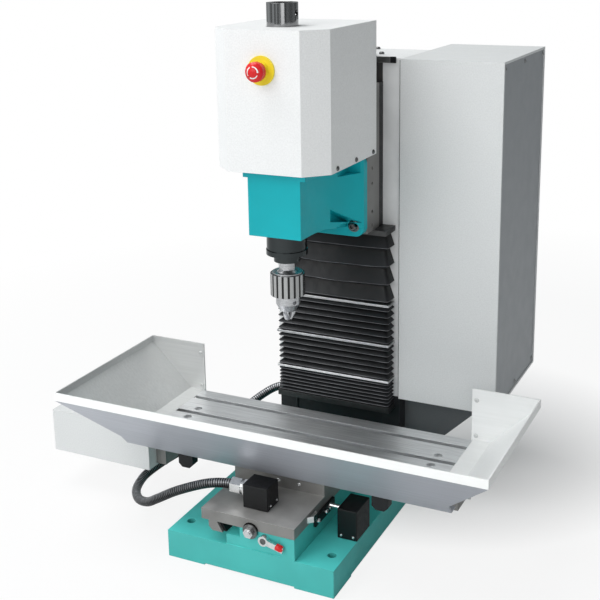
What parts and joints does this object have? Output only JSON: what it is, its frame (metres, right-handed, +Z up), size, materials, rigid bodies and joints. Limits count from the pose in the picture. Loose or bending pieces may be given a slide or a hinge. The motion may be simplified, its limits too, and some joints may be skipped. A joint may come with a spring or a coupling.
{
  "type": "cnc milling machine",
  "caption": "Bench milling machine with a dovetail bed, T-slot table in a chip tray, head on a column with a keyed chuck, folded bellows and a side cabinet.",
  "frame": {"origin": "centre of the four base bolts, on the plane that the feet stand on", "axes": "+X right along the table, +Y back towards the column, +Z up along the spindle"},
  "size_m": [0.66, 0.4844, 0.6825],
  "materials": {
    "teal_paint": "hammered semi-gloss enamel on cast iron",
    "machined_iron": "machined grey iron",
    "ground_steel": "ground",
    "white_paint": "textured white powder coat",
    "silver_paint": "silver-grey powder coat",
    "dark_paint": "dark grey powder coat",
    "black_metal": "black oxide",
    "black_fabric": "coated fabric, semi-gloss",
    "black_rubber": "satin",
    "black_plastic": "satin",
    "bright_metal": "nickel plate",
    "chuck_steel": "turned and hardened",
    "dark_steel": "turned and blackened",
    "red_plastic": "gloss",
    "yellow_plastic": "satin"
  },
  "bodies": {
    "base": {"base_casting": "teal_paint", "column": "machined_iron", "column_cover": "silver_paint", "column_top_cover": "white_paint", "cabinet_shell": "silver_paint", "cabinet_side_panel": "dark_paint", "cabinet_bracket": "dark_paint", "cabinet_screws": "bright_metal", "motor_drives": "black_metal", "bellows": "black_fabric", "bellows_strips": "bright_metal", "bellows_bottom_plate": "black_metal", "feed_motors": "black_metal", "y_front_bearing": "bright_metal", "y_limit_switch": "black_plastic", "cable_gland": "bright_metal"},
    "saddle": {"saddle": "machined_iron", "y_gib": "bright_metal", "ball_nuts": "ground_steel", "x_limit_switch": "black_plastic", "switch_gland": "bright_metal", "conduit": "black_plastic", "y_trip_dog": "bright_metal", "gib_screws": "bright_metal"},
    "table": {"table": "ground_steel", "tray_front": "silver_paint", "tray_left": "silver_paint", "tray_right": "silver_paint", "x_motor": "black_metal", "x_screw_blocks": "machined_iron", "x_motor_cover": "white_paint", "x_trip_dogs": "black_metal", "tray_screws": "bright_metal"},
    "head": {"head_casting": "teal_paint", "head_cover": "white_paint", "z_slide_plate": "machined_iron", "z_keeper_bars": "black_metal", "z_nut": "ground_steel", "spindle_motor": "black_metal", "drive_belt": "black_rubber", "spindle_bearings": "bright_metal", "head_screws": "bright_metal", "estop_base": "yellow_plastic", "bellows_bracket": "black_metal"},
    "y_screw": {"y_screw": "ground_steel"},
    "z_screw": {"z_screw": "ground_steel"},
    "x_screw": {"x_screw": "ground_steel"},
    "lock_lever": {"lock_lever": "machined_iron"},
    "y_plunger": {"y_plunger": "bright_metal"},
    "x_plunger": {"x_plunger": "bright_metal"},
    "spindle": {"spindle": "dark_steel", "chuck_body": "chuck_steel"},
    "motor_pulley": {"motor_pulley": "ground_steel"},
    "chuck_sleeve": {"chuck_sleeve": "chuck_steel"},
    "chuck_jaw_1": {"chuck_jaw_1": "chuck_steel"},
    "chuck_jaw_2": {"chuck_jaw_2": "chuck_steel"},
    "chuck_jaw_3": {"chuck_jaw_3": "chuck_steel"},
    "estop_stem": {"estop_stem": "bright_metal"},
    "estop_knob": {"estop_knob": "red_plastic"}
  },
  "joints": [
    {"name": "y_slide", "type": "slide", "parent": "base", "child": "saddle", "axis": [0, 1, 0], "range_m": [-0.09, 0.025], "deforming": ["conduit"]},
    {"name": "x_slide", "type": "slide", "parent": "saddle", "child": "table", "axis": [1, 0, 0], "range_m": [-0.142, 0.118]},
    {"name": "z_slide", "type": "slide", "parent": "base", "child": "head", "axis": [0, 0, 1], "range_m": [-0.15, 0.022], "deforming": ["bellows", "bellows_strips"]},
    {"name": "y_screw_turn", "type": "hinge", "parent": "base", "child": "y_screw", "pos_m": [0.005, 0, 0.063], "axis": [0, 1, 0], "range_deg": [-1803, 6482]},
    {"name": "x_screw_turn", "type": "hinge", "parent": "table", "child": "x_screw", "pos_m": [0.012, -0.053, 0.0862], "axis": [1, 0, 0], "range_deg": [-10226, 8498]},
    {"name": "z_screw_turn", "type": "hinge", "parent": "base", "child": "z_screw", "pos_m": [0, 0.073, 0.35], "axis": [0, 0, 1], "range_deg": [-1586, 10802]},
    {"name": "lock_turn", "type": "hinge", "parent": "base", "child": "lock_lever", "pos_m": [0.024, -0.2, 0.056], "axis": [0, 1, 0], "range_deg": [0, 70]},
    {"name": "y_switch_press", "type": "slide", "parent": "base", "child": "y_plunger", "axis": [1, 0, 0], "range_m": [0, 0.003], "stiffness_N_per_m": 800},
    {"name": "x_switch_press", "type": "slide", "parent": "saddle", "child": "x_plunger", "axis": [0, -1, 0], "range_m": [0, 0.003], "stiffness_N_per_m": 800},
    {"name": "spindle_spin", "type": "hinge", "parent": "head", "child": "spindle", "pos_m": [0, -0.078, 0.45], "axis": [0, 0, 1], "continuous": true},
    {"name": "motor_spin", "type": "hinge", "parent": "head", "child": "motor_pulley", "pos_m": [0, -0.017, 0.62], "axis": [0, 0, 1], "continuous": true},
    {"name": "sleeve_turn", "type": "hinge", "parent": "spindle", "child": "chuck_sleeve", "pos_m": [0, -0.078, 0.34], "axis": [0, 0, 1], "range_deg": [0, 540]},
    {"name": "jaw_1_slide", "type": "slide", "parent": "spindle", "child": "chuck_jaw_1", "axis": [0.1504, 0.0868, 0.9848], "range_m": [0, 0.00505]},
    {"name": "jaw_2_slide", "type": "slide", "parent": "spindle", "child": "chuck_jaw_2", "axis": [-0.1504, 0.0868, 0.9848], "range_m": [0, 0.00505]},
    {"name": "jaw_3_slide", "type": "slide", "parent": "spindle", "child": "chuck_jaw_3", "axis": [0, -0.1736, 0.9848], "range_m": [0, 0.00505]},
    {"name": "estop_press", "type": "slide", "parent": "head", "child": "estop_stem", "axis": [0, 1, 0], "range_m": [0, 0.004], "stiffness_N_per_m": 2500},
    {"name": "estop_twist", "type": "hinge", "parent": "estop_stem", "child": "estop_knob", "pos_m": [0, -0.15, 0.609], "axis": [0, 1, 0], "range_deg": [0, 40], "stiffness_Nm_per_rad": 0.15}
  ],
  "couplings": [
    {"joint": "y_screw_turn", "follows": "y_slide", "rad_per_m": -1256.6},
    {"joint": "x_screw_turn", "follows": "x_slide", "rad_per_m": 1256.6},
    {"joint": "z_screw_turn", "follows": "z_slide", "rad_per_m": -1256.6},
    {"joint": "motor_spin", "follows": "spindle_spin", "ratio": 1.7647},
    {"joint": "jaw_1_slide", "follows": "sleeve_turn", "m_per_rad": 0.00053052},
    {"joint": "jaw_2_slide", "follows": "sleeve_turn", "m_per_rad": 0.00053052},
    {"joint": "jaw_3_slide", "follows": "sleeve_turn", "m_per_rad": 0.00053052}
  ]
}
